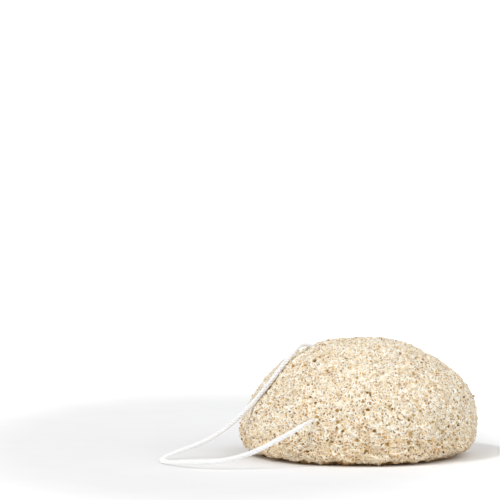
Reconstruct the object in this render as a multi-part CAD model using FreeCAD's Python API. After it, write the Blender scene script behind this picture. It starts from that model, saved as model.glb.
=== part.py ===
import FreeCAD, Part
import math
import os

# Facial sponge of konjac foam on a cotton hanging loop, in millimetres.
# The origin is on the table, under the middle of the sponge.
# +X is to the right, +Y to the back and +Z up.

Vector = FreeCAD.Vector
ORIGIN = Vector(0, 0, 0)

# Driving sizes of the sponge, a half ball of moulded foam.
sponge_width = 75.0
sponge_depth = 70.0
sponge_height = 37.0
crown_offset = 1.5
underside_cut = 0.5

# Places where the cord leaves the foam, as shares of the half width, the half
# depth and the height. Both lie on one straight line through the foam.
exit_left_share = 0.3733
top_exit_front_share = 0.114
top_exit_height_share = 0.934
front_exit_front_share = 0.886
front_exit_height_share = 0.405

# Hollows in the foam for the cord and its knot.
cord_clearance = 0.05
knot_clearance = 0.3
dimple_radius = 2.6

# The cord, its knot and how deep its free part starts below each exit.
cord_diameter = 1.4
start_depth = 1.8
knot_radius = 2.3
knot_length = 6.0
knot_wrap_count = 3
knot_wrap_depth = 0.3
knot_tail_length = 3.0
knot_tail_gap = 0.1

# The sponge's outline, level by level: height as a share of the sponge's
# height, then the reach from the crown line to the left, right, front and
# back as shares of the widest reach on that side.
level_shares = [
    (0.016, 0.805, 0.840, 0.863, 0.855),
    (0.070, 0.918, 0.934, 0.951, 0.945),
    (0.190, 1.000, 0.992, 1.000, 1.000),
    (0.324, 0.970, 1.000, 0.994, 0.990),
    (0.486, 0.897, 0.960, 0.943, 0.930),
    (0.649, 0.796, 0.862, 0.846, 0.830),
    (0.784, 0.683, 0.703, 0.700, 0.690),
    (0.892, 0.510, 0.513, 0.520, 0.510),
    (0.962, 0.333, 0.347, 0.343, 0.340),
    (0.992, 0.167, 0.178, 0.180, 0.180),
    (1.000, 0.030, 0.030, 0.030, 0.030),
]
foot_shares = (0.690, 0.730, 0.743, 0.735)

# The skin's shallow lumps: each outline swings out and in this many times, in
# two waves whose heights are shares of its reach. The waves turn on by lump_turn
# radians from level to level. On the widest levels they only dip in, so that
# those touch the full reach on X and Y and nowhere pass it.
outline_points = 64
lump_counts = (12, 20)
lump_height_shares = (0.012, 0.010)
lump_turn = 2.4
widest_levels = (3, 4)

# Corners of the free cord's route between its first and last bend, chosen by
# hand: over the shoulder, down the left slope, round on the table and up to
# the front. The first and last bend lie on the thread line, past each exit.
loop_corners = [
    (-15.9, -3.6, 35.8),
    (-19.0, -5.1, 35.2),
    (-22.5, -8.7, 31.5),
    (-27.5, -12.1, 25.7),
    (-33.6, -12.1, 18.0),
    (-40.4, -11.8, 10.8),
    (-47.8, -9.6, 5.5),
    (-55.6, -10.6, 2.7),
    (-61.6, -14.4, 0.9),
    (-63.2, -21.5, 0.75),
    (-59.4, -29.6, 1.0),
    (-52.4, -36.8, 2.0),
    (-42.7, -39.4, 2.6),
    (-33.2, -39.0, 5.3),
    (-25.4, -37.2, 9.2),
    (-19.2, -34.4, 12.8),
    (-15.9, -32.5, 14.7),
]
bend_lead = 0.3
bend_share = 0.45

cord_radius = cord_diameter / 2
half_width = sponge_width / 2
half_depth = sponge_depth / 2
left_reach = half_width + crown_offset
right_reach = half_width - crown_offset

exit_x = -exit_left_share * half_width
top_exit = Vector(exit_x, -top_exit_front_share * half_depth, top_exit_height_share * sponge_height)
front_exit = Vector(exit_x, -front_exit_front_share * half_depth, front_exit_height_share * sponge_height)
thread_line = (top_exit - front_exit).normalize()
thread_length = (top_exit - front_exit).Length
run_start = front_exit + thread_line * start_depth
run_end = top_exit - thread_line * start_depth
knot_middle = (front_exit + top_exit) * 0.5
knot_low_end = knot_middle - thread_line * (knot_length / 2)
knot_high_end = knot_middle + thread_line * (knot_length / 2)


def save(shape, node):
    """Write one piece's solid and print what it measures."""
    box = shape.BoundBox
    print(
        f"{node}: {len(shape.Solids)} solid, valid {shape.isValid()}, {shape.Volume:.1f} mm3, "
        f"x {box.XMin:.2f} {box.XMax:.2f}, y {box.YMin:.2f} {box.YMax:.2f}, z {box.ZMin:.2f} {box.ZMax:.2f}"
    )
    shape.exportStep(f"parts/{node}.step")


def lump_share(angle, number):
    """How far an outline reaches at this angle, as a share of its level's plain reach."""
    widest = number in widest_levels
    turn = 0 if widest else number * lump_turn
    share = 1.0
    for count, height_share in zip(lump_counts, lump_height_shares):
        share += height_share * math.cos(count * angle + turn) / 2
        if widest:
            share -= height_share / 2
    return share


def sponge_outline(number, height, left, right, front, back):
    """Closed outline of one level: four quarters of ellipses, with the skin's shallow lumps."""
    points = []
    for step in range(outline_points):
        angle = 2 * math.pi * step / outline_points
        across = math.cos(angle)
        along = math.sin(angle)
        reach_x = right if across > 0 else left
        reach_y = back if along > 0 else front
        share = lump_share(angle, number)
        points.append(Vector(crown_offset + reach_x * across * share, reach_y * along * share, height))
    curve = Part.BSplineCurve()
    curve.interpolate(points, PeriodicFlag=True)
    return Part.Wire(curve.toShape())


def make_sponge():
    """The foam body: its dome, flat underside, thread hole, knot hollow and exit dimples."""
    outlines = []
    levels = [(-underside_cut, foot_shares)]
    levels += [(level[0] * sponge_height, level[1:]) for level in level_shares]
    for number, (height, (left, right, front, back)) in enumerate(levels):
        outline = sponge_outline(
            number, height, left * left_reach, right * right_reach, front * half_depth, back * half_depth
        )
        outlines.append(outline)
    dome = Part.makeLoft(outlines, True, False)
    below = Part.makeBox(
        sponge_width, sponge_depth, sponge_height, Vector(-half_width, -half_depth, -sponge_height)
    )
    dome = dome.cut(below)
    thread_hole = Part.makeCylinder(cord_radius + cord_clearance, thread_length, front_exit, thread_line)
    hollow_length = knot_length + 2 * (knot_tail_length + knot_clearance)
    hollow_start = knot_middle - thread_line * (hollow_length / 2)
    knot_hollow = Part.makeCylinder(
        knot_radius + knot_clearance, hollow_length, hollow_start, thread_line
    )
    top_dimple = Part.makeSphere(dimple_radius, top_exit)
    front_dimple = Part.makeSphere(dimple_radius, front_exit)
    return dome.cut([thread_hole, knot_hollow, top_dimple, front_dimple])


def make_run(start, end):
    """One straight stretch of cord inside the foam."""
    return Part.makeCylinder(cord_radius, (end - start).Length, start, end - start)


def make_knot():
    """The knot: wraps round the thread line, with a cut tail at each end."""
    wrap_length = knot_length / knot_wrap_count
    neck = knot_radius - knot_wrap_depth
    edges = [Part.LineSegment(ORIGIN, Vector(neck, 0, 0)).toShape()]
    for wrap in range(knot_wrap_count):
        low = wrap * wrap_length
        arc = Part.Arc(
            Vector(neck, 0, low),
            Vector(knot_radius, 0, low + wrap_length / 2),
            Vector(neck, 0, low + wrap_length),
        )
        edges.append(arc.toShape())
    edges.append(Part.LineSegment(Vector(neck, 0, knot_length), Vector(0, 0, knot_length)).toShape())
    edges.append(Part.LineSegment(Vector(0, 0, knot_length), ORIGIN).toShape())
    knot = Part.Face(Part.Wire(edges)).revolve(ORIGIN, Vector(0, 0, 1), 360)
    tail_offset = cord_diameter + knot_tail_gap
    tail_length = knot_tail_length + wrap_length
    high_tail = Part.makeCylinder(
        cord_radius, tail_length, Vector(tail_offset, 0, knot_length - wrap_length)
    )
    low_tail = Part.makeCylinder(cord_radius, tail_length, Vector(-tail_offset, 0, -knot_tail_length))
    knot = knot.fuse([high_tail, low_tail]).removeSplitter()
    turn = FreeCAD.Rotation(Vector(0, 0, 1), thread_line)
    knot.Placement = FreeCAD.Placement(knot_low_end, turn)
    return knot


def rounded_path(points):
    """Straight runs through the points, joined by tangent arcs as large as the runs allow."""
    edges = []
    radii = []
    last = points[0]
    for before, corner, after in zip(points, points[1:], points[2:]):
        inward = (corner - before).normalize()
        outward = (after - corner).normalize()
        half_turn = inward.getAngle(outward) / 2
        tangent = bend_share * min((corner - before).Length, (after - corner).Length)
        radius = tangent / math.tan(half_turn)
        radii.append(radius)
        arc_start = corner - inward * tangent
        arc_end = corner + outward * tangent
        to_centre = (outward - inward).normalize()
        arc_middle = corner + to_centre * (radius / math.cos(half_turn) - radius)
        edges.append(Part.LineSegment(last, arc_start).toShape())
        edges.append(Part.Arc(arc_start, arc_middle, arc_end).toShape())
        last = arc_end
    edges.append(Part.LineSegment(last, points[-1]).toShape())
    return Part.Wire(edges), radii


def make_loop():
    """The free part of the cord, from the top exit round to the front exit."""
    points = [run_end, top_exit + thread_line * bend_lead]
    points += [Vector(*corner) for corner in loop_corners]
    points += [front_exit - thread_line * bend_lead, run_start]
    path, radii = rounded_path(points)
    section = Part.Wire(Part.Circle(points[0], points[1] - points[0], cord_radius).toShape())
    tube = path.makePipeShell([section], True, False)
    expected = math.pi * cord_radius**2 * path.Length
    print("loop bend radii:", ", ".join(f"{radius:.1f}" for radius in radii))
    print("loop runs:", ", ".join(f"{(b - a).Length:.1f}" for a, b in zip(points, points[1:])))
    print(f"loop length {path.Length:.1f} mm, volume {tube.Volume:.1f} mm3, expected {expected:.1f} mm3")
    return tube


os.makedirs("parts", exist_ok=True)
save(make_sponge(), "sponge_body")
save(make_run(run_start, knot_low_end), "cord_run_front")
save(make_run(knot_high_end, run_end), "cord_run_top")
save(make_knot(), "cord_knot")
save(make_loop(), "cord_loop")
print("thread line from", tuple(front_exit), "to", tuple(top_exit), "direction", tuple(thread_line))
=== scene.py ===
import math
import bpy
import numpy as np
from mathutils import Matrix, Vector


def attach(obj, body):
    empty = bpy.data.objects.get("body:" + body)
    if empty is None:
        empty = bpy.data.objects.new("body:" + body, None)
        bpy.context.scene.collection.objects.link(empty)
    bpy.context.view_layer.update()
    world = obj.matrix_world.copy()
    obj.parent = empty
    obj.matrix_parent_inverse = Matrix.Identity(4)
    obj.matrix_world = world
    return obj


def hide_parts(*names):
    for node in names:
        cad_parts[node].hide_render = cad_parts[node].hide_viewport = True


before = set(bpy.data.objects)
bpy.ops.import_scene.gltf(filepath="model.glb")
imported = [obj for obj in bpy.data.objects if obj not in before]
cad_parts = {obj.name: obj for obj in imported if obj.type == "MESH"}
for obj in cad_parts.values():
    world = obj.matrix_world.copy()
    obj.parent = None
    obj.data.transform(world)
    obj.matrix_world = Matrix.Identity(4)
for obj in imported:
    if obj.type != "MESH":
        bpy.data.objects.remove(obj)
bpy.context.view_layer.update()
bpy.ops.object.select_all(action="DESELECT")

# Camera: a long lens over a metre away, low over the table and tilted slightly
# down, as for a small product. The sponge's foot is right of and below the
# middle of the picture.
MM = 0.001
PICTURE_PX = 500
LENS_PX = 4200
PX_PER_MM = 3.15
FOOT_PX = (358.5, 454.7)
TILT = math.radians(4.0)
NEAREST_SEEN_M = 0.1
FURTHEST_SEEN_M = 100

camera_depth = LENS_PX / PX_PER_MM * MM
foot_right = (FOOT_PX[0] - PICTURE_PX / 2) / PX_PER_MM * MM
foot_down = (FOOT_PX[1] - PICTURE_PX / 2) / PX_PER_MM * MM
camera_place = (
    -foot_right,
    -camera_depth * math.cos(TILT) + foot_down * math.sin(TILT),
    camera_depth * math.sin(TILT) + foot_down * math.cos(TILT),
)
bpy.ops.object.camera_add(location=camera_place, rotation=(math.radians(90) - TILT, 0, 0))
camera = bpy.context.object
camera.data.lens = camera.data.sensor_width * LENS_PX / PICTURE_PX
camera.data.clip_start = NEAREST_SEEN_M
camera.data.clip_end = FURTHEST_SEEN_M
bpy.context.scene.camera = camera


# Hanging cord: three plies of soft white cotton twisted together, 1.4 mm thick.
# It's threaded through the foam and knotted inside, and its free loop leaves
# the top, lies down the left slope, turns on the table and goes in at the front.
CORD_DIAMETER = 1.4 * MM
PLY_RADIUS = 0.42 * MM
PLY_OFFSET = 0.36 * MM
PLY_COUNT = 3
PLY_SIDES = 10
TWIST_LENGTH = 3.3 * MM
TWIST_STEPS = 18
ROUTE_STEPS = 24

# Points of a line this near together, in metres, count as one.
ONE_PLACE_M = 1e-7

# A direction that the cord takes nowhere, from which its first side is found.
OFF_CORD = (0.31, 0.2, 0.93)

# How far the foam squeezes the cord thin, and between which distances from the
# top end and from the front end it swells to its full thickness.
GRIP_SHARE = 0.5
GRIP_TOP = (1.0 * MM, 4.0 * MM)
GRIP_FRONT = (2.5 * MM, 8.0 * MM)

# Real cotton fibres are 0.02 mm thick, too fine to show. They are drawn as
# streaks 0.13 mm wide: so many per mm of a ply and round it. The knot has no
# yarn map, so its streaks are laid out on the object: so many per metre.
STREAKS_PER_MM = 2.8
STREAKS_ROUND = 20
KNOT_STREAKS = (8000, 1200, 8000)
COTTON_TONES = ((0.3, "#FAF8F3"), (0.6, "#FFFFFF"))

# The loop's route in mm, from inside the top exit to inside the front one.
LOOP_ROUTE_MM = [
    (-14.0, -5.45, 33.5),
    (-14.0, -3.75, 34.73),
    (-16.7, -3.7, 35.72),
    (-19.0, -5.1, 35.2),
    (-22.5, -8.6, 31.4),
    (-27.3, -11.8, 25.4),
    (-33.4, -11.9, 17.7),
    (-40.4, -11.8, 10.8),
    (-47.8, -9.6, 5.5),
    (-55.6, -10.6, 2.7),
    (-61.1, -14.4, 0.9),
    (-62.5, -21.5, 0.75),
    (-59.0, -29.6, 1.0),
    (-52.4, -36.8, 2.0),
    (-42.7, -39.4, 2.6),
    (-33.2, -39.0, 5.3),
    (-25.4, -37.2, 9.2),
    (-19.2, -34.3, 12.4),
    (-16.7, -32.7, 13.8),
    (-14.2, -30.9, 14.6),
    (-14.0, -29.55, 16.04),
]


def srgb(text):
    """Linear colour of an sRGB hex value."""
    parts = [int(text[i : i + 2], 16) / 255 for i in (1, 3, 5)]
    linear = [c / 12.92 if c <= 0.04045 else ((c + 0.055) / 1.055) ** 2.4 for c in parts]
    return (*linear, 1.0)


def add_node(tree, kind, inputs=(), stops=(), **settings):
    """Adds a node. Its inputs are named in a dict or in order in a list, and each is a plain value,
    a socket, or a node, which gives its first output in use. Stops are a colour ramp's."""
    new = tree.nodes.new(kind)
    for name, value in settings.items():
        setattr(new, name, value)
    for key, value in inputs.items() if isinstance(inputs, dict) else enumerate(inputs):
        if isinstance(value, bpy.types.Node):
            value = next(socket for socket in value.outputs if socket.enabled)
        if isinstance(value, bpy.types.NodeSocket):
            tree.links.new(value, new.inputs[key])
        else:
            new.inputs[key].default_value = value
    while stops and len(new.color_ramp.elements) < len(stops):
        new.color_ramp.elements.new(1.0)
    for number, (position, colour) in enumerate(stops):
        new.color_ramp.elements[number].position = position
        new.color_ramp.elements[number].color = srgb(colour)
    return new


def new_material(name):
    """An empty material and its node tree."""
    material = bpy.data.materials.new(name)
    material.use_nodes = True
    material.node_tree.nodes.clear()
    return material, material.node_tree


def cotton_material(name, thread_slope=None):
    """Bleached cotton yarn: matt, with fine fibres along each ply that catch the light. Where a
    slope is given, it's for a piece with no yarn map that lies along a thread of that slope."""
    material, tree = new_material(name)
    if thread_slope is None:
        place = add_node(tree, "ShaderNodeUVMap", uv_map="yarn")
        layout = {"Vector": place, "Scale": (STREAKS_PER_MM, STREAKS_ROUND, 1.0)}
    else:
        place = add_node(tree, "ShaderNodeTexCoord").outputs["Object"]
        layout = {"Vector": place, "Rotation": (-thread_slope, 0, 0), "Scale": KNOT_STREAKS}
    streaks = add_node(tree, "ShaderNodeMapping", layout)
    fibres = add_node(tree, "ShaderNodeTexNoise", {"Vector": streaks, "Scale": 1.0, "Detail": 4.0})
    tint = add_node(tree, "ShaderNodeValToRGB", [fibres], COTTON_TONES)
    bump = add_node(tree, "ShaderNodeBump", {"Strength": 0.5, "Distance": 0.05 * MM, "Height": fibres})
    shader = add_node(
        tree,
        "ShaderNodeBsdfPrincipled",
        {
            "Base Color": tint,
            "Roughness": 0.9,
            "Specular IOR Level": 0.25,
            "Sheen Weight": 0.45,
            "Sheen Roughness": 0.5,
            "Subsurface Weight": 0.7,
            "Subsurface Radius": (1.0, 0.95, 0.9),
            "Subsurface Scale": 0.9 * MM,
            "Normal": bump,
        },
    )
    add_node(tree, "ShaderNodeOutputMaterial", [shader])
    return material


def smooth_line(name, points):
    """Points along the smooth curve that the route's points control."""
    curve = bpy.data.curves.new(name, "CURVE")
    curve.dimensions = "3D"
    curve.resolution_u = ROUTE_STEPS
    spline = curve.splines.new("NURBS")
    spline.points.add(len(points) - 1)
    for point, place in zip(spline.points, points):
        point.co = (*place, 1.0)
    spline.order_u = 3
    spline.use_endpoint_u = True
    holder = bpy.data.objects.new(name, curve)
    mesh = bpy.data.meshes.new_from_object(holder)
    line = np.array([vertex.co for vertex in mesh.vertices])
    bpy.data.objects.remove(holder)
    bpy.data.meshes.remove(mesh)
    return line


def even_line(line, step):
    """The line's points again, evenly spaced by about the step, with the distance along it."""
    lengths = np.linalg.norm(np.diff(line, axis=0), axis=1)
    keep = np.concatenate([[True], lengths > ONE_PLACE_M])
    line = line[keep]
    along = np.concatenate([[0], np.cumsum(np.linalg.norm(np.diff(line, axis=0), axis=1))])
    distance = np.linspace(0, along[-1], max(2, round(along[-1] / step) + 1))
    return np.stack([np.interp(distance, along, line[:, i]) for i in range(3)], 1), distance


def side_vectors(line):
    """Two vectors square to the line at each point, carried along it without twist."""
    ahead = np.gradient(line, axis=0)
    ahead /= np.linalg.norm(ahead, axis=1)[:, None]
    first = np.cross(ahead[0], OFF_CORD)
    first /= np.linalg.norm(first)
    sides = [first]
    for direction in ahead[1:]:
        side = sides[-1] - direction * sides[-1].dot(direction)
        sides.append(side / np.linalg.norm(side))
    sides = np.array(sides)
    return sides, np.cross(ahead, sides)


def tube(line, radius, sides, faces_from):
    """Points, faces and yarn coordinates of a closed tube: mm along it, and turns round it."""
    across, up = side_vectors(line)
    angles = (np.arange(sides) / sides * 2 * math.pi)[None, :, None]
    radius = np.broadcast_to(radius, (len(line),))
    ring = np.cos(angles) * across[:, None] + np.sin(angles) * up[:, None]
    points = (line[:, None] + radius[:, None, None] * ring).reshape(-1, 3)
    distance = np.concatenate([[0], np.cumsum(np.linalg.norm(np.diff(line, axis=0), axis=1))]) / MM
    faces = []
    yarn = []
    for step in range(len(line) - 1):
        for side in range(sides):
            near = step * sides + side
            next_side = step * sides + (side + 1) % sides
            faces.append([near, next_side, next_side + sides, near + sides])
            low, high = side / sides, (side + 1) / sides
            yarn += [
                (distance[step], low),
                (distance[step], high),
                (distance[step + 1], high),
                (distance[step + 1], low),
            ]
    for first in (0, (len(line) - 1) * sides):
        cap = [first + side for side in range(sides)]
        faces.append(cap[::-1] if first == 0 else cap)
        yarn += [(distance[0 if first == 0 else -1], 0.5)] * sides
    faces = [[index + faces_from for index in face] for face in faces]
    return points, faces, yarn


def make_piece(name, points, faces, yarn=None):
    """A new smooth mesh object at the origin, with the yarn map where one is given."""
    mesh = bpy.data.meshes.new(name)
    mesh.from_pydata([tuple(p) for p in points], [], faces)
    if yarn is not None:
        layer = mesh.uv_layers.new(name="yarn")
        layer.data.foreach_set("uv", np.array(yarn, dtype=np.float32).ravel())
    mesh.update()
    piece = bpy.data.objects.new(name, mesh)
    bpy.context.collection.objects.link(piece)
    for polygon in mesh.polygons:
        polygon.use_smooth = True
    return piece


def gripped(distance):
    """Thickness of the yarn along a line as a share: the foam squeezes it near both ends."""
    at_top = np.interp(distance, GRIP_TOP, (0, 1))
    at_front = np.interp(distance[-1] - distance, GRIP_FRONT, (0, 1))
    share = np.minimum(at_top, at_front)
    return GRIP_SHARE + (1 - GRIP_SHARE) * share * share * (3 - 2 * share)


def twisted_cord(name, line):
    """A cord of twisted plies along the line."""
    line, distance = even_line(line, TWIST_LENGTH / TWIST_STEPS)
    across, up = side_vectors(line)
    thick = gripped(distance)
    points = []
    faces = []
    yarn = []
    for ply in range(PLY_COUNT):
        angle = distance / TWIST_LENGTH * 2 * math.pi + ply / PLY_COUNT * 2 * math.pi
        offset = np.cos(angle)[:, None] * across + np.sin(angle)[:, None] * up
        ply_line = line + offset * PLY_OFFSET * thick[:, None]
        new_points, new_faces, new_yarn = tube(ply_line, PLY_RADIUS * thick, PLY_SIDES, len(points))
        points += list(new_points)
        faces += new_faces
        yarn += [(u, v + ply) for u, v in new_yarn]
    return make_piece(name, points, faces, yarn)


loop_line, loop_distance = even_line(
    smooth_line("loop_route", np.array(LOOP_ROUTE_MM) * MM), TWIST_LENGTH / TWIST_STEPS
)
cord_loop = twisted_cord("cord_loop_yarn", loop_line)
cord_loop.data.materials.append(cotton_material("bleached_cotton_yarn"))
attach(cord_loop, "hanging_loop")
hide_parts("cord_loop")


# Loose cotton fibres that stand off the cord's free loop, a soft halo of
# teased lint 1 to 2 mm deep. Each is a thin bent hair rooted in a ply.
FIBRE_COUNT = 1500
FIBRE_RADIUS = 0.012 * MM
FIBRE_REACH = (0.3 * MM, 2.0 * MM)
FIBRE_STEPS = 5
FIBRE_SIDES = 3
FIBRE_TIP_SHARE = 0.4
FIBRE_ROOT = 0.4 * CORD_DIAMETER
LINT_PATCH = 2.5 * MM
LINT_TONES = ("#EFE9DC", "#FFFFFF")
LINT_SEED = 7

# Most fibres are short, as the power is above 1. Each leans along the cord and
# curls round it by up to these shares of its reach, and the cord's ends stay bare.
FIBRE_REACH_POWER = 3
FIBRE_LEAN = 1.2
FIBRE_CURL = 0.9
BARE_POINTS = len(loop_line) // 30


def cord_lint():
    """The halo of fibres as one piece."""
    rng = np.random.default_rng(LINT_SEED)
    across, up = side_vectors(loop_line)
    ahead = np.gradient(loop_line, axis=0)
    ahead /= np.linalg.norm(ahead, axis=1)[:, None]
    share = np.linspace(0, 1, FIBRE_STEPS)[:, None]
    thickness = np.linspace(1, FIBRE_TIP_SHARE, FIBRE_STEPS) * FIBRE_RADIUS
    points = []
    faces = []
    for _ in range(FIBRE_COUNT):
        place = rng.integers(BARE_POINTS, len(loop_line) - BARE_POINTS)
        angle = rng.uniform(0, 2 * math.pi)
        long = rng.random() ** FIBRE_REACH_POWER
        reach = FIBRE_REACH[0] + (FIBRE_REACH[1] - FIBRE_REACH[0]) * long
        lean = rng.uniform(-FIBRE_LEAN, FIBRE_LEAN)
        curl = rng.uniform(-FIBRE_CURL, FIBRE_CURL)
        out = math.cos(angle) * across[place] + math.sin(angle) * up[place]
        side = np.cross(out, ahead[place])
        bend = lean * ahead[place] + curl * side
        hair = loop_line[place] + out * FIBRE_ROOT + share * reach * out + share**2 * reach * bend
        # No hair goes down into the table.
        hair[:, 2] = np.maximum(hair[:, 2], 2 * FIBRE_RADIUS)
        new_points, new_faces, _ = tube(hair, thickness, FIBRE_SIDES, len(points))
        points += list(new_points)
        faces += new_faces
    return make_piece("cord_lint", points, faces)


def lint_material():
    """Single cotton fibres: white to cream, and slightly shiny along their length."""
    material, tree = new_material("loose_cotton_lint")
    place = add_node(tree, "ShaderNodeTexCoord").outputs["Object"]
    patches = add_node(tree, "ShaderNodeTexNoise", {"Vector": place, "Scale": 1 / LINT_PATCH})
    tint = {"Factor": patches, "A": srgb(LINT_TONES[0]), "B": srgb(LINT_TONES[1])}
    tint = add_node(tree, "ShaderNodeMix", tint, data_type="RGBA")
    shader = {"Base Color": tint, "Roughness": 0.7, "Sheen Weight": 0.4}
    shader = add_node(tree, "ShaderNodeBsdfPrincipled", shader)
    add_node(tree, "ShaderNodeOutputMaterial", [shader])
    return material


cord_fibres = cord_lint()
cord_fibres.data.materials.append(lint_material())
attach(cord_fibres, "hanging_loop")


# Sponge body: konjac fibre whipped to a foam, moulded as a half ball, frozen
# and dried. The skin is a crumbly net of cream fibre round open pores. It fills
# the CAD body's space with its pores cut into the mesh, and the cord holds in it.
FOAM_SIZE = (75 * MM, 70 * MM)
FOAM_TOP = 37 * MM

# The level at which it's widest.
FOAM_WAIST = 8 * MM

# Cuts along each edge of the cube that it starts as, the most that subdivide makes. They
# put points about 0.5 mm apart on the skin, so the material has to sharpen fine pores.
FOAM_CUTS = 100

# Where the cord leaves the foam, at the top and at the front. Within this reach, the
# CAD body's dimples are smoothed shut in so many steps, as foam closes on a cord.
EXIT_PLACES = (Vector((-14.0, -3.99, 34.56)) * MM, Vector((-14.0, -31.01, 14.98)) * MM)
EXIT_REACH = 3.1 * MM
EXIT_RELAX_STEPS = 400

# The rim is lifted off the table from a share of the foot's reach outwards, more
# to the right, and fades out at the rim's top. It's also spread a little.
RIM_LIFT_PLACES = (12 * MM, 22 * MM, 34 * MM)
RIM_LIFTS = (0.70 * MM, 1.45 * MM, 2.10 * MM)
RIM_START_SHARE = 0.76
RIM_END_SHARE = 0.86
RIM_TOP = 4.5 * MM
RIM_SPREAD = 0.035
RIM_SPREAD_LEVELS = (0.4 * MM, 1.2 * MM, 6.0 * MM)

# Where the mould pressed the skin in: middle, reach and depth in mm (below 0: a swelling).
FOAM_DENTS = [
    ((-10.5, -1.0, 35.8), 5.5, -0.6),
    ((-13.0, -5.0, 34.4), 3.0, -0.3),
    ((-13.6, -31.2, 15.4), 3.0, -0.4),
    ((-22.0, -30.0, 5.0), 12.0, -1.0),
    ((-33.5, -11.0, 15.5), 9.0, -0.6),
]

# Creases of the mould on the front: both ends' x and z, half width and depth in mm.
FOAM_CREASES = [
    ((-36.5, 6.4), (-27.5, 7.6), 0.7, 0.35),
    ((-1.0, 4.8), (5.0, 4.1), 0.5, 0.45),
    ((5.0, 4.1), (12.0, 3.1), 0.5, 0.45),
]

# The largest pores on the front: x and z, radius across and up, and depth in mm. Their
# floor is flat and their wall steep, as these two numbers are above 1.
HOLE_STEEPNESS = 1.25
HOLE_ROUNDING = 1.5
FRONT_HOLES = [
    (-13.3, 13.6, 0.40, 0.50, 0.9),
    (-14.2, 31.6, 0.50, 0.45, 1.0),
    (-14.4, 33.6, 0.30, 0.30, 0.9),
    (-16.4, 24.8, 0.40, 0.35, 0.7),
    (-16.7, 4.7, 0.50, 0.40, 1.0),
    (-10.3, 29.1, 0.40, 0.45, 0.7),
    (-1.4, 8.5, 0.75, 0.55, 0.5),
    (1.4, 12.7, 0.50, 0.50, 0.7),
    (1.6, 5.2, 0.55, 0.50, 0.7),
    (2.8, 22.6, 0.45, 0.65, 0.9),
    (4.1, 11.4, 0.75, 0.55, 0.7),
    (8.8, 18.7, 0.45, 0.45, 0.6),
    (8.2, 7.2, 0.65, 0.80, 0.6),
    (11.5, 15.2, 0.45, 0.30, 0.8),
    (14.7, 7.5, 0.70, 0.80, 0.45),
    (15.4, 10.2, 0.90, 0.90, 0.30),
    (16.2, 15.8, 0.50, 0.35, 0.6),
    (18.3, 17.3, 0.40, 0.30, 0.8),
    (21.2, 7.6, 0.60, 0.75, 0.30),
    (21.7, 13.3, 0.35, 0.35, 0.8),
    (24.0, 6.3, 0.50, 0.50, 0.5),
    (25.8, 10.3, 0.80, 0.70, 0.30),
]


def mesh_places(mesh, layer="co"):
    """A mesh's points or normals as rows of x, y and z."""
    values = np.empty(len(mesh.vertices) * 3)
    mesh.vertices.foreach_get(layer, values)
    return values.reshape(-1, 3)


def from_exits(places):
    """Each place's distance to the nearer of the cord's two exits."""
    return np.min([np.linalg.norm(places - np.array(out), axis=1) for out in EXIT_PLACES], axis=0)


def foam_blank():
    """A cube swelled to a half ball, with its points evenly spread, and wrapped on to the CAD body."""
    bpy.ops.mesh.primitive_cube_add(size=2)
    blank = bpy.context.object
    blank.name = "konjac_foam"
    bpy.ops.object.mode_set(mode="EDIT")
    bpy.ops.mesh.subdivide(number_cuts=FOAM_CUTS)
    bpy.ops.object.mode_set(mode="OBJECT")
    mesh = blank.data
    places = np.tan(mesh_places(mesh) * math.pi / 4)
    places /= np.linalg.norm(places, axis=1)[:, None]
    places[:, 0] *= FOAM_SIZE[0] / 2
    places[:, 1] *= FOAM_SIZE[1] / 2
    above = places[:, 2] > 0
    places[:, 2] = FOAM_WAIST + np.where(
        above, places[:, 2] * (FOAM_TOP - FOAM_WAIST), places[:, 2] * FOAM_WAIST
    )
    mesh.vertices.foreach_set("co", places.ravel())
    mesh.uv_layers[0].name = "OFBake"
    wrap = blank.modifiers.new("wrap", "SHRINKWRAP")
    wrap.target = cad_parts["sponge_body"]
    wrap.wrap_method = "NEAREST_SURFACEPOINT"
    bpy.ops.object.modifier_apply(modifier="wrap")
    return blank


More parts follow.
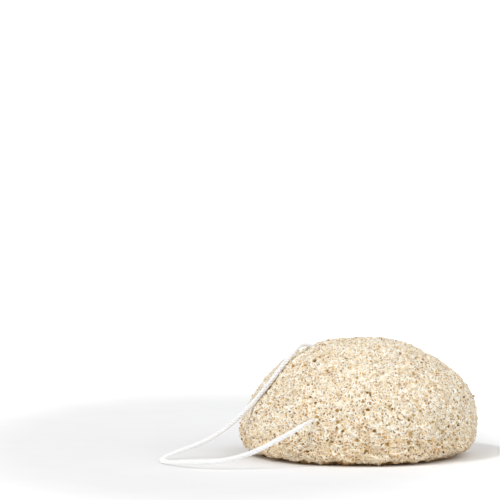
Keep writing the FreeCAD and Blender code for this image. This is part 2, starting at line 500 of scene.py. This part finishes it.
def press_foam(blank):
    """Close the CAD body's dimples, dent the skin, and lift and spread the rim over the table."""
    mesh = blank.data
    near = from_exits(mesh_places(mesh)) < EXIT_REACH
    group = blank.vertex_groups.new(name="exits")
    group.add([int(i) for i in np.nonzero(near)[0]], 1.0, "REPLACE")
    relax = blank.modifiers.new("relax", "SMOOTH")
    relax.vertex_group = "exits"
    relax.factor = 1.0
    relax.iterations = EXIT_RELAX_STEPS
    bpy.ops.object.modifier_apply(modifier="relax")
    blank.vertex_groups.clear()
    places = mesh_places(mesh)
    normals = mesh_places(mesh, "normal")
    for middle, reach, depth in FOAM_DENTS:
        distance = np.linalg.norm(places - np.array(middle) * MM, axis=1) / (reach * MM)
        fall = np.clip(1 - distance**2, 0, 1) ** 2
        places -= normals * (fall * depth * MM)[:, None]
    out_share = np.hypot(places[:, 0] / FOAM_SIZE[0], places[:, 1] / FOAM_SIZE[1]) * 2
    off_foot = np.clip((out_share - RIM_START_SHARE) / (RIM_END_SHARE - RIM_START_SHARE), 0, 1)
    lift = np.interp(places[:, 0], RIM_LIFT_PLACES, RIM_LIFTS)
    places[:, 2] += lift * off_foot * np.clip(1 - places[:, 2] / RIM_TOP, 0, 1)
    places[:, :2] *= 1 + RIM_SPREAD * np.interp(places[:, 2], RIM_SPREAD_LEVELS, (0, 1, 0))[:, None]
    for first, last, half_width, depth in FOAM_CREASES:
        start = np.array(first)
        run = np.array(last) - start
        flat = places[:, (0, 2)] / MM - start
        share = np.clip(flat @ run / (run @ run), 0, 1)
        off_line = np.linalg.norm(flat - share[:, None] * run, axis=1) / half_width
        fall = np.clip(1 - off_line**2, 0, 1) * (places[:, 1] < 0)
        places -= normals * (fall * depth * MM)[:, None]
    hole = np.zeros(len(places))
    for x, z, across, up, depth in FRONT_HOLES:
        offset = (places[:, (0, 2)] / MM - (x, z)) / (across, up)
        inside = HOLE_STEEPNESS - HOLE_STEEPNESS * (offset**2).sum(axis=1) ** HOLE_ROUNDING
        hole = np.maximum(hole, np.clip(inside, 0, 1) * (places[:, 1] < 0) * depth)
    mesh.attributes.new("hole", "FLOAT", "POINT").data.foreach_set("value", hole)
    mesh.vertices.foreach_set("co", places.ravel())
    mesh.update()


# Pores in mm: spacing, smallest and largest radius, share of cells that are open, depth as
# a share of the radius, and how dark the deepest ones are painted inside, partly painted shade.
# These are real sizes.
PORE_SIZES = [
    (0.95, 0.18, 0.46, 0.85, 1.0, 0.70),
    (1.60, 0.28, 0.66, 0.80, 0.9, 1.00),
    (3.40, 0.50, 0.95, 0.40, 0.6, 0.65),
]
PORE_PALEST_SHARE = 0.3

# Each size's cells are this much further along, so that the sizes don't line up.
PORE_SHIFT = (17.0, 5.0, 9.0)

# What bends the pores out of round: size of the noise and how far it pushes, in mm.
PORE_DRIFTS = [(1.3, 1.3), (0.5, 0.55)]

# Where pores crowd: size of the patches in mm, the noise's levels, and the shares between
# which it changes how many cells are open.
CROWD_SIZE = 4.0
CROWD_LEVELS = (0.36, 0.60, 0.55, 1.15)

# Shares of its radius between which a pore falls in, from its edge to its full depth, and
# between which its raised rim rises from inside and from outside.
PORE_EDGE = (1.05, 0.45)
PORE_RIM_INNER = (0.85, 1.20)
PORE_RIM_OUTER = (1.80, 1.20)

# The net of fibre walls between the finest cells, in mm: spacing, the distances from a
# wall's middle at which it starts and is at its full height, and the noise that bends it.
# Real walls are 0.1 mm thick, too fine to show, so these are drawn over twice as thick.
NET_CELL = 0.90
NET_WALL = (0.25, 0.03)
NET_DRIFT = (0.7, 0.7)

# Layers of noise in the skin's height: size and height of the lumps in mm, detail,
# roughness, and whether they are only at the foot, where the mould left folds.
SKIN_LAYERS = [
    (7.0, 1.0, 1.0, 0.5, False),
    (3.4, 2.2, 2.0, 0.5, True),
    (1.1, 1.0, 1.0, 0.5, True),
    (1.3, 2.2, 3.0, 0.65, False),
]

# In mm: the levels between which the foot's folds come in, how far the net's walls and
# the pores' rims stand proud, and how far all the skin is sunk to keep the sponge's size.
FOOT_LEVELS = (9.0, 1.0)
WALL_HEIGHT = 0.25
PORE_RIM_HEIGHT = 0.10
SKIN_SINK = 0.1

# Tones of the fibre from dark to pale cells, of the patches it's multiplied by, and inside
# a pore from its edge to its bottom, partly the fibre's own tan and partly painted shade in
# the pits. Proud rims and walls are painted paler, partly the fibre's own white and partly a
# painted highlight. The top has painted light, and the foot and the hollow under the rim
# have painted shade.
FOAM_TONES = ((0.25, "#A67C40"), (0.42, "#CFAC6F"), (0.60, "#ECD5AA"), (0.80, "#F8E9CA"))
PATCH_TONES = ((0.36, "#F5E2C2"), (0.60, "#FDF9F0"))
PORE_TONE_AND_SHADE = ((0.0, "#E4D0A0"), (0.30, "#C6A66A"), (0.60, "#A68250"), (1.0, "#6E4C28"))
PROUD_WHITE_AND_HIGHLIGHT = "#FCF9ED"
TOP_PAINTED_LIGHT = "#FAEED8"
FOOT_PAINTED_SHADE = "#FDF7EE"
UNDER_RIM_PAINTED_SHADE = "#E7C99C"

# The grit and the patches: size of the noise in mm, detail and roughness.
GRIT = (0.7, 3.0, 0.7)
PATCHES = (5.0, 3.0, 0.6)

# Where walls are painted pale, partly the fibre's own white and partly a painted highlight: size
# of the noise in mm, its levels and the shares between which it changes how pale they are. A
# pore's rim is painted pale by the last share.
PALE_SIZE = 2.0
PALE_LEVELS = (0.30, 0.60, 0.45, 1.0)
PORE_RIM_PALE = 0.6

# Heights in mm between which something changes, and from how much to how much: pores are
# painted darker towards the foot and paler at the top, painted shade that follows the light from
# above; the top gets painted light; the foot's painted shade comes in between two heights; and the
# painted shade under the rim has an upper and a lower end.
PORE_DARK_LEVELS = (36.0, 12.0, 0.80, 1.20)
TOP_LIGHT_LEVELS = (20.0, 36.0, 0.0, 0.05)
FOOT_SHADE_LEVELS = (13.0, 3.0)
UNDER_RIM_SHADE_TOP = (1.6, 0.8)
UNDER_RIM_SHADE_BOTTOM = (0.02, 0.45)

# How dark the largest pores are painted, partly painted shade in the holes, and the darkness between
# which a pore's tones come in.
HOLE_DARK = 1.1
PORE_DARK_START = (0.02, 0.30)


def drifted(tree, place, size, push):
    """The place in mm pushed about by noise, so that what is laid out on it comes out uneven."""
    clouds = add_node(tree, "ShaderNodeTexNoise", {"Vector": place, "Scale": 1 / size})
    drift = [clouds.outputs["Color"], (0.5, 0.5, 0.5)]
    drift = add_node(tree, "ShaderNodeVectorMath", drift, operation="SUBTRACT")
    return add_node(tree, "ShaderNodeVectorMath", [drift, (push,) * 3, place], operation="MULTIPLY_ADD")


def pore_net(tree, place):
    """Depth of the pores in mm, how dark they look and how much of a rim is here, for a place in mm."""
    warped = place
    for size, push in PORE_DRIFTS:
        warped = drifted(tree, warped, size, push)
    clouds = add_node(tree, "ShaderNodeTexNoise", {"Vector": place, "Scale": 1 / CROWD_SIZE})
    crowd = add_node(tree, "ShaderNodeMapRange", [clouds, *CROWD_LEVELS], interpolation_type="SMOOTHSTEP")
    pit = 0.0
    dark = 0.0
    rim = 0.0
    for number, (spacing, smallest, largest, open_share, depth, darkest) in enumerate(PORE_SIZES):
        shift = (PORE_SHIFT[0] * number, *PORE_SHIFT[1:])
        shifted = add_node(tree, "ShaderNodeVectorMath", [warped, shift], operation="ADD")
        cells = add_node(tree, "ShaderNodeTexVoronoi", {"Vector": shifted, "Scale": 1 / spacing})
        size_draw, open_draw, dark_draw = add_node(
            tree, "ShaderNodeSeparateXYZ", [cells.outputs["Color"]]
        ).outputs
        open_here = add_node(tree, "ShaderNodeMath", [crowd, open_share], operation="MULTIPLY")
        is_open = add_node(tree, "ShaderNodeMath", [open_draw, open_here], operation="LESS_THAN")
        few_large = add_node(tree, "ShaderNodeMath", [size_draw, size_draw], operation="MULTIPLY")
        radius = add_node(tree, "ShaderNodeMapRange", [few_large, 0.0, 1.0, smallest, largest])
        few_dark = add_node(tree, "ShaderNodeMath", [dark_draw, dark_draw], operation="MULTIPLY")
        tones = (darkest * PORE_PALEST_SHARE, darkest)
        tone = add_node(tree, "ShaderNodeMapRange", [few_dark, 0.0, 1.0, *tones])
        distance = [cells.outputs["Distance"], spacing]
        distance = add_node(tree, "ShaderNodeMath", distance, operation="MULTIPLY")
        within = add_node(tree, "ShaderNodeMath", [distance, radius], operation="DIVIDE")
        bowl = add_node(tree, "ShaderNodeMapRange", [within, *PORE_EDGE], interpolation_type="SMOOTHSTEP")
        bowl = add_node(tree, "ShaderNodeMath", [bowl, is_open], operation="MULTIPLY")
        deep = add_node(tree, "ShaderNodeMath", [bowl, radius], operation="MULTIPLY")
        deep = add_node(tree, "ShaderNodeMath", [deep, depth], operation="MULTIPLY")
        pit = add_node(tree, "ShaderNodeMath", [deep, pit], operation="MAXIMUM")
        shade = add_node(tree, "ShaderNodeMath", [bowl, tone], operation="MULTIPLY")
        dark = add_node(tree, "ShaderNodeMath", [shade, dark], operation="MAXIMUM")
        ring = is_open
        for shares in (PORE_RIM_INNER, PORE_RIM_OUTER):
            slope = [within, *shares]
            slope = add_node(tree, "ShaderNodeMapRange", slope, interpolation_type="SMOOTHSTEP")
            ring = add_node(tree, "ShaderNodeMath", [ring, slope], operation="MULTIPLY")
        rim = add_node(tree, "ShaderNodeMath", [ring, rim], operation="MAXIMUM")
    return pit, dark, rim


def fibre_net(tree, place):
    """The net of fibre walls at a place in mm: 1 on a wall, 0 in a cell, and each cell's own chance."""
    warped = drifted(tree, place, *NET_DRIFT)
    layout = {"Vector": warped, "Scale": 1 / NET_CELL}
    edges = add_node(tree, "ShaderNodeTexVoronoi", layout, feature="DISTANCE_TO_EDGE")
    cells = add_node(tree, "ShaderNodeTexVoronoi", layout)
    off_edge = add_node(tree, "ShaderNodeMath", [edges, NET_CELL], operation="MULTIPLY")
    wall = add_node(tree, "ShaderNodeMapRange", [off_edge, *NET_WALL], interpolation_type="SMOOTHSTEP")
    chance = add_node(tree, "ShaderNodeSeparateXYZ", [cells.outputs["Color"]]).outputs[0]
    return wall, chance


def pore_tree():
    """Nodes that push the foam's surface in at its pores and out at its crumbs."""
    tree = bpy.data.node_groups.new("foam_pores", "GeometryNodeTree")
    tree.interface.new_socket("Geometry", in_out="INPUT", socket_type="NodeSocketGeometry")
    tree.interface.new_socket("Geometry", in_out="OUTPUT", socket_type="NodeSocketGeometry")
    start = add_node(tree, "NodeGroupInput")
    position = add_node(tree, "GeometryNodeInputPosition")
    normal = add_node(tree, "GeometryNodeInputNormal")
    hole = add_node(tree, "GeometryNodeInputNamedAttribute", {"Name": "hole"}, data_type="FLOAT")
    place = add_node(tree, "ShaderNodeVectorMath", {0: position, "Scale": 1 / MM}, operation="SCALE")
    level = add_node(tree, "ShaderNodeSeparateXYZ", [place]).outputs[2]
    foot = add_node(tree, "ShaderNodeMapRange", [level, *FOOT_LEVELS], interpolation_type="SMOOTHSTEP")
    height = -SKIN_SINK
    for size, lump_height, detail, roughness, only_foot in SKIN_LAYERS:
        clouds = {"Vector": place, "Scale": 1 / size, "Detail": detail, "Roughness": roughness}
        clouds = add_node(tree, "ShaderNodeTexNoise", clouds)
        swing = add_node(tree, "ShaderNodeMath", [clouds, 0.5], operation="SUBTRACT")
        lumps = add_node(tree, "ShaderNodeMath", [swing, lump_height], operation="MULTIPLY")
        layer = [lumps, foot if only_foot else 1.0, height]
        height = add_node(tree, "ShaderNodeMath", layer, operation="MULTIPLY_ADD")
    pit, _, rim = pore_net(tree, place)
    wall, _ = fibre_net(tree, place)
    for raised in ([wall, WALL_HEIGHT], [rim, PORE_RIM_HEIGHT]):
        height = add_node(tree, "ShaderNodeMath", [*raised, height], operation="MULTIPLY_ADD")
    pit = add_node(tree, "ShaderNodeMath", [pit, hole], operation="MAXIMUM")
    height = add_node(tree, "ShaderNodeMath", [height, pit], operation="SUBTRACT")
    height = add_node(tree, "ShaderNodeMath", [height, MM], operation="MULTIPLY")
    push = add_node(tree, "ShaderNodeVectorMath", {0: normal, "Scale": height}, operation="SCALE")
    kept = {"Geometry": start, "Name": "skin", "Value": place}
    kept = add_node(
        tree, "GeometryNodeStoreNamedAttribute", kept, data_type="FLOAT_VECTOR", domain="POINT"
    )
    pushed = add_node(tree, "GeometryNodeSetPosition", {"Geometry": kept, "Offset": push})
    add_node(tree, "NodeGroupOutput", {"Geometry": pushed})
    return tree


def foam_material():
    """Dried konjac foam: matt cream fibre with white rims, partly a painted highlight, and tan to brown
    inside the pores, partly painted shade; painted light on the top and painted shade at the foot and
    under the rim.
    """
    material, tree = new_material("dried_konjac_foam")
    skin = add_node(tree, "ShaderNodeAttribute", attribute_name="skin").outputs["Vector"]
    hole = add_node(tree, "ShaderNodeAttribute", attribute_name="hole").outputs["Fac"]
    level = add_node(tree, "ShaderNodeSeparateXYZ", [skin]).outputs[2]
    _, pore_dark, rim = pore_net(tree, skin)
    wall, chance = fibre_net(tree, skin)

    pore_shade_by_height, top_painted_light, foot, under_rim_shade_top, under_rim_shade_bottom = [
        add_node(tree, "ShaderNodeMapRange", [level, *levels], interpolation_type="SMOOTHSTEP")
        for levels in (PORE_DARK_LEVELS, TOP_LIGHT_LEVELS, FOOT_SHADE_LEVELS, UNDER_RIM_SHADE_TOP, UNDER_RIM_SHADE_BOTTOM)
    ]
    # Painted shade in the hollow under the rim, between an upper and a lower height.
    under_rim_shade = add_node(tree, "ShaderNodeMath", [under_rim_shade_top, under_rim_shade_bottom], operation="MULTIPLY")

    # Pores are painted darker towards the foot and paler at the top, painted shade that follows the light
    # from above.
    pore_dark = add_node(tree, "ShaderNodeMath", [pore_dark, pore_shade_by_height], operation="MULTIPLY")
    hole_dark = add_node(tree, "ShaderNodeMath", [hole, HOLE_DARK], operation="MULTIPLY")
    dark = add_node(tree, "ShaderNodeMath", [pore_dark, hole_dark], operation="MAXIMUM")
    # Pore insides go from tan to brown with depth: partly the fibre's own tone, partly painted shade.
    inside = add_node(tree, "ShaderNodeValToRGB", [dark], PORE_TONE_AND_SHADE)
    in_pore = [dark, *PORE_DARK_START]
    in_pore = add_node(tree, "ShaderNodeMapRange", in_pore, interpolation_type="SMOOTHSTEP")

    grit, clouds = [
        add_node(
            tree,
            "ShaderNodeTexNoise",
            {"Vector": skin, "Scale": 1 / size, "Detail": detail, "Roughness": roughness},
        )
        for size, detail, roughness in (GRIT, PATCHES)
    ]
    tone = add_node(tree, "ShaderNodeMath", [chance, grit], operation="ADD")
    tone = add_node(tree, "ShaderNodeMath", [tone, 0.5], operation="MULTIPLY")
    fibre = add_node(tree, "ShaderNodeValToRGB", [tone], FOAM_TONES)
    patches = add_node(tree, "ShaderNodeValToRGB", [clouds], PATCH_TONES)

    clouds = add_node(tree, "ShaderNodeTexNoise", {"Vector": skin, "Scale": 1 / PALE_SIZE})
    pale = add_node(tree, "ShaderNodeMapRange", [clouds, *PALE_LEVELS], interpolation_type="SMOOTHSTEP")
    walls = add_node(tree, "ShaderNodeMath", [wall, pale], operation="MULTIPLY")
    rims = add_node(tree, "ShaderNodeMath", [rim, PORE_RIM_PALE], operation="MULTIPLY")
    proud = add_node(tree, "ShaderNodeMath", [rims, walls], operation="MAXIMUM")

    tint = fibre
    for share, colour, blend in (
        (1.0, patches, "MULTIPLY"),
        # painted light on the top
        (top_painted_light, srgb(TOP_PAINTED_LIGHT), "MIX"),
        # walls and rims painted paler: the fibre's own white and a painted highlight
        (proud, srgb(PROUD_WHITE_AND_HIGHLIGHT), "MIX"),
        # pore insides: the fibre's tan and painted shade in the pits
        (in_pore, inside, "MIX"),
        # painted shade at the foot
        (foot, srgb(FOOT_PAINTED_SHADE), "MULTIPLY"),
        # painted shade under the rim
        (under_rim_shade, srgb(UNDER_RIM_PAINTED_SHADE), "MULTIPLY"),
    ):
        layer = {"Factor": share, "A": tint, "B": colour}
        tint = add_node(tree, "ShaderNodeMix", layer, data_type="RGBA", blend_type=blend)

    relief = add_node(tree, "ShaderNodeMath", [grit, wall], operation="ADD")
    bump = add_node(tree, "ShaderNodeBump", {"Strength": 0.8, "Distance": 0.25 * MM, "Height": relief})
    shader = {"Base Color": tint, "Roughness": 0.95, "Specular IOR Level": 0.15, "Normal": bump}
    shader = add_node(tree, "ShaderNodeBsdfPrincipled", shader)
    add_node(tree, "ShaderNodeOutputMaterial", [shader])
    return material


foam = foam_blank()
press_foam(foam)
pores = foam.modifiers.new("pores", "NODES")
pores.node_group = pore_tree()
bpy.ops.object.modifier_apply(modifier="pores")

# The underside's crumbs are flattened on the table.
foam_places = mesh_places(foam.data)
foam_places[:, 2] = np.maximum(foam_places[:, 2], 0.0)
foam.data.vertices.foreach_set("co", foam_places.ravel())
foam.data.update()
bpy.ops.object.shade_smooth()
foam.data.materials.clear()
foam.data.materials.append(foam_material())
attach(foam, "sponge")
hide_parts("sponge_body")


# Shell grains: crushed walnut shell stirred into the foam before it sets. The
# ones at the skin show as ochre and brown chips, half sunk and bound in it.
GRAIN_COUNT = 1100
GRAIN_SIZE = (0.35 * MM, 1.00 * MM)
GRAIN_STRETCH = (0.5, 1.4)
GRAIN_CRUSH = (0.75, 1.15)
GRAIN_SINK_SHARE = 0.16
GRAIN_LEAST_HEIGHT = 1.0 * MM
GRAIN_OFF_EXIT = 3.5 * MM
GRAIN_SEED = 11

# Most grains are small, as the power is above 1.
GRAIN_SIZE_POWER = 2.5
SHELL_TONES = ((0.0, "#EED4A6"), (0.55, "#DCB378"), (0.90, "#BC8C56"), (1.0, "#7A5230"))

# The shell's own grain: streaks a third of a mm wide.
SHELL_STREAKS = ((0.35, "#D8C8AC"), (0.60, "#FFFFFF"))
SHELL_STREAKS_PER_M = 3000


def shell_grains():
    """One crushed chip, copied over the skin at random sizes and turns, as one piece."""
    bpy.ops.object.select_all(action="DESELECT")
    bpy.ops.mesh.primitive_ico_sphere_add(subdivisions=1, radius=0.5)
    chip = bpy.context.object
    corners = mesh_places(chip.data)
    chip_faces = np.array([polygon.vertices[:] for polygon in chip.data.polygons])
    bpy.data.objects.remove(chip)
    rng = np.random.default_rng(GRAIN_SEED)
    skin_places = mesh_places(foam.data)
    skin_normals = mesh_places(foam.data, "normal")
    clear = from_exits(skin_places) > GRAIN_OFF_EXIT
    seats = np.nonzero(clear & (skin_places[:, 2] > GRAIN_LEAST_HEIGHT))[0]
    chosen = rng.choice(seats, GRAIN_COUNT, replace=False)
    points = []
    faces = []
    shades = []
    for number, seat in enumerate(chosen):
        large = rng.random() ** GRAIN_SIZE_POWER
        size = GRAIN_SIZE[0] + (GRAIN_SIZE[1] - GRAIN_SIZE[0]) * large
        stretch = rng.uniform(*GRAIN_STRETCH, 3)
        rough = corners * rng.uniform(*GRAIN_CRUSH, (len(corners), 1)) * stretch * size
        turn = np.linalg.qr(rng.normal(size=(3, 3)))[0]
        # A turn that mirrors would put the chip inside out.
        if np.linalg.det(turn) < 0:
            turn[:, 0] *= -1
        middle = skin_places[seat] - skin_normals[seat] * size * GRAIN_SINK_SHARE
        points.append(rough @ turn.T + middle)
        faces.append(chip_faces + number * len(corners))
        shades.append(np.full(len(corners), rng.random()))
    piece = make_piece("shell_grains", np.concatenate(points), np.concatenate(faces).tolist())
    shade = piece.data.attributes.new("shade", "FLOAT", "POINT")
    shade.data.foreach_set("value", np.concatenate(shades))
    for polygon in piece.data.polygons:
        polygon.use_smooth = False
    return piece


def shell_material():
    """Crushed walnut shell: ochre to brown, dull, each chip its own shade."""
    material, tree = new_material("crushed_walnut_shell")
    shade = add_node(tree, "ShaderNodeAttribute", attribute_name="shade").outputs["Fac"]
    place = add_node(tree, "ShaderNodeTexCoord").outputs["Object"]
    grain = add_node(tree, "ShaderNodeTexNoise", {"Vector": place, "Scale": SHELL_STREAKS_PER_M})
    tone = add_node(tree, "ShaderNodeValToRGB", [shade], SHELL_TONES)
    streaks = add_node(tree, "ShaderNodeValToRGB", [grain], SHELL_STREAKS)
    tint = {"Factor": 1.0, "A": tone, "B": streaks}
    tint = add_node(tree, "ShaderNodeMix", tint, data_type="RGBA", blend_type="MULTIPLY")
    bump = add_node(tree, "ShaderNodeBump", {"Strength": 0.5, "Distance": 0.05 * MM, "Height": grain})
    shader = {"Base Color": tint, "Roughness": 0.7, "Specular IOR Level": 0.3, "Normal": bump}
    shader = add_node(tree, "ShaderNodeBsdfPrincipled", shader)
    add_node(tree, "ShaderNodeOutputMaterial", [shader])
    return material


grains = shell_grains()
grains.data.materials.append(shell_material())
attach(grains, "sponge")


# The cord's two ends inside the foam and the knot that ties them: the same cotton
# yarn, pulled tight. The foam hides them, so they keep the CAD model's meshes and
# take only a material, turned by the slope of the straight thread hole.
thread = EXIT_PLACES[0] - EXIT_PLACES[1]
knotted_cotton = cotton_material("bleached_cotton_knot", math.atan2(thread.z, thread.y))
for node in ("cord_run_top", "cord_run_front", "cord_knot"):
    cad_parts[node].data.materials.clear()
    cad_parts[node].data.materials.append(knotted_cotton)


# Floor: a wide matt white board. The camera sees a pale grey patch of painted shade round
# the cord, so that the white cord stands out, and plain white further off and at the right.
FLOOR_RADIUS_M = 40
FLOOR_SIDES = 64
FLOOR_WHITE = "#FAFAFB"
FLOOR_PAINTED_SHADE = "#EFEFF0"

# Brighter than any hex value, so that the far floor is plain white for the camera.
FLOOR_FAR = (1.2, 1.2, 1.2, 1.0)

# The patch of painted shade: its middle, how much narrower and deeper it is than round, and the
# distances from its middle between which it fades.
SHADE_PATCH_MIDDLE = (-45 * MM, 30 * MM)
SHADE_PATCH_SQUEEZE = (1.5, 0.8)
NEAR_REACH = 90 * MM
FAR_REACH = 200 * MM

# The paint is a little uneven, in clouds 17 mm across.
PAINT_TONES = ((0.3, "#FDFDFD"), (0.7, "#FFFFFF"))
PAINT_CLOUDS_PER_M = 60


def floor_material():
    """White painted board, almost even, with a pale grey patch of painted shade round the cord that only
    the camera sees.
    """
    material, tree = new_material("white_painted_board")
    place = add_node(tree, "ShaderNodeTexCoord").outputs["Object"]
    clouds = add_node(tree, "ShaderNodeTexNoise", {"Vector": place, "Scale": PAINT_CLOUDS_PER_M})
    paint = add_node(tree, "ShaderNodeValToRGB", [clouds], PAINT_TONES)
    middle = (-SHADE_PATCH_MIDDLE[0] * SHADE_PATCH_SQUEEZE[0], -SHADE_PATCH_MIDDLE[1] * SHADE_PATCH_SQUEEZE[1], 0)
    squeezed = {"Vector": place, "Location": middle, "Scale": (*SHADE_PATCH_SQUEEZE, 1.0)}
    squeezed = add_node(tree, "ShaderNodeMapping", squeezed)
    distance = add_node(tree, "ShaderNodeVectorMath", [squeezed], operation="LENGTH")
    far = [distance, NEAR_REACH, FAR_REACH]
    far = add_node(tree, "ShaderNodeMapRange", far, interpolation_type="SMOOTHSTEP")
    seen = add_node(tree, "ShaderNodeLightPath").outputs["Is Camera Ray"]
    # For the camera: a pale grey patch of painted shade round the cord, fading to plain white further
    # off.
    seen_shade_to_white = {"Factor": far, "A": srgb(FLOOR_PAINTED_SHADE), "B": FLOOR_FAR}
    seen_shade_to_white = add_node(tree, "ShaderNodeMix", seen_shade_to_white, data_type="RGBA")
    white = {"Factor": seen, "A": srgb(FLOOR_WHITE), "B": seen_shade_to_white}
    white = add_node(tree, "ShaderNodeMix", white, data_type="RGBA")
    tint = {"Factor": 1.0, "A": white, "B": paint}
    tint = add_node(tree, "ShaderNodeMix", tint, data_type="RGBA", blend_type="MULTIPLY")
    shader = add_node(tree, "ShaderNodeBsdfDiffuse", [tint])
    add_node(tree, "ShaderNodeOutputMaterial", [shader])
    return material


bpy.ops.mesh.primitive_circle_add(vertices=FLOOR_SIDES, radius=FLOOR_RADIUS_M, fill_type="NGON")
floor = bpy.context.object
floor.name = "table_top"
floor.data.materials.append(floor_material())


# Light: a white room that is bright overhead and dim near the floor, a hard
# lamp from the front left, and two wide soft ones that fill its shadows.
# Angles are in degrees, and a turn of 0 is from the camera's side.
ROOM_LOW = 0.12
ROOM_HIGH = 0.50
LAMPS = [
    {"name": "key_lamp", "power": 0.78, "spread": 4, "elevation": 50.6, "turn": -47},
    {"name": "soft_box_left", "power": 1.27, "spread": 60, "elevation": 30, "turn": -48},
    {"name": "soft_box_right", "power": 1.50, "spread": 70, "elevation": 38, "turn": 62},
]


def white_room():
    """The world: its strength rises from the horizon to overhead, and the camera sees plain white."""
    world = bpy.data.worlds.new("white_room")
    bpy.context.scene.world = world
    world.use_nodes = True
    tree = world.node_tree
    tree.nodes.clear()
    direction = add_node(tree, "ShaderNodeTexCoord").outputs["Generated"]
    height = add_node(tree, "ShaderNodeSeparateXYZ", [direction]).outputs[2]
    strength = add_node(tree, "ShaderNodeMapRange", [height, 0.0, 1.0, ROOM_LOW, ROOM_HIGH])
    seen = add_node(tree, "ShaderNodeLightPath").outputs["Is Camera Ray"]
    strength = add_node(tree, "ShaderNodeMath", [seen, strength], operation="MAXIMUM")
    light = add_node(tree, "ShaderNodeBackground", {"Color": srgb("#FFFFFF"), "Strength": strength})
    add_node(tree, "ShaderNodeOutputWorld", [light])


white_room()
for lamp in LAMPS:
    bpy.ops.object.light_add(type="SUN")
    light = bpy.context.object
    light.name = lamp["name"]
    light.data.energy = lamp["power"]
    light.data.angle = math.radians(lamp["spread"])
    elevation = math.radians(lamp["elevation"])
    turn = math.radians(lamp["turn"])
    flat = math.cos(elevation)
    lit_from = Vector((math.sin(turn) * flat, -math.cos(turn) * flat, math.sin(elevation)))
    light.rotation_euler = lit_from.to_track_quat("Z", "Y").to_euler()

bpy.context.scene.view_settings.view_transform = "Standard"
